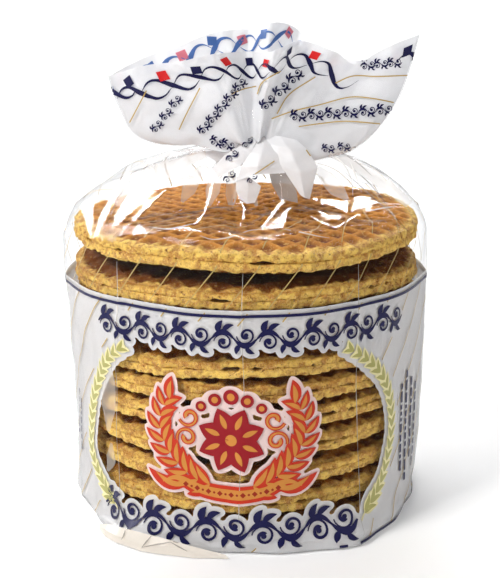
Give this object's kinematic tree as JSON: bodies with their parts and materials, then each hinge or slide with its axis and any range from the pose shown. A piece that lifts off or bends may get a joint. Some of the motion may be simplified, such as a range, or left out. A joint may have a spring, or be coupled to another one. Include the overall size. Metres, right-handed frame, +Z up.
{
  "type": "bag of stroopwafels",
  "caption": "Clear film bag holding a stack of round syrup wafels, gathered and tied at the neck, with the film's mouth spread in a fan above the tie.",
  "frame": {"origin": "middle of the bag's width and depth, on the surface it stands on", "axes": "+Z up through the stack to the tied neck, -Y towards the front of the bag, +X to the right seen from the front"},
  "size_m": [0.1054, 0.1065, 0.1392],
  "materials": {
    "film": "clear glossy film, printed white, navy, red and gold",
    "tie": "plain white plastic strip",
    "wafel": "baked golden brown wafer with dark syrup"
  },
  "bodies": {
    "root": {"bag": "film", "neck_tie": "tie"}
  },
  "joints": []
}
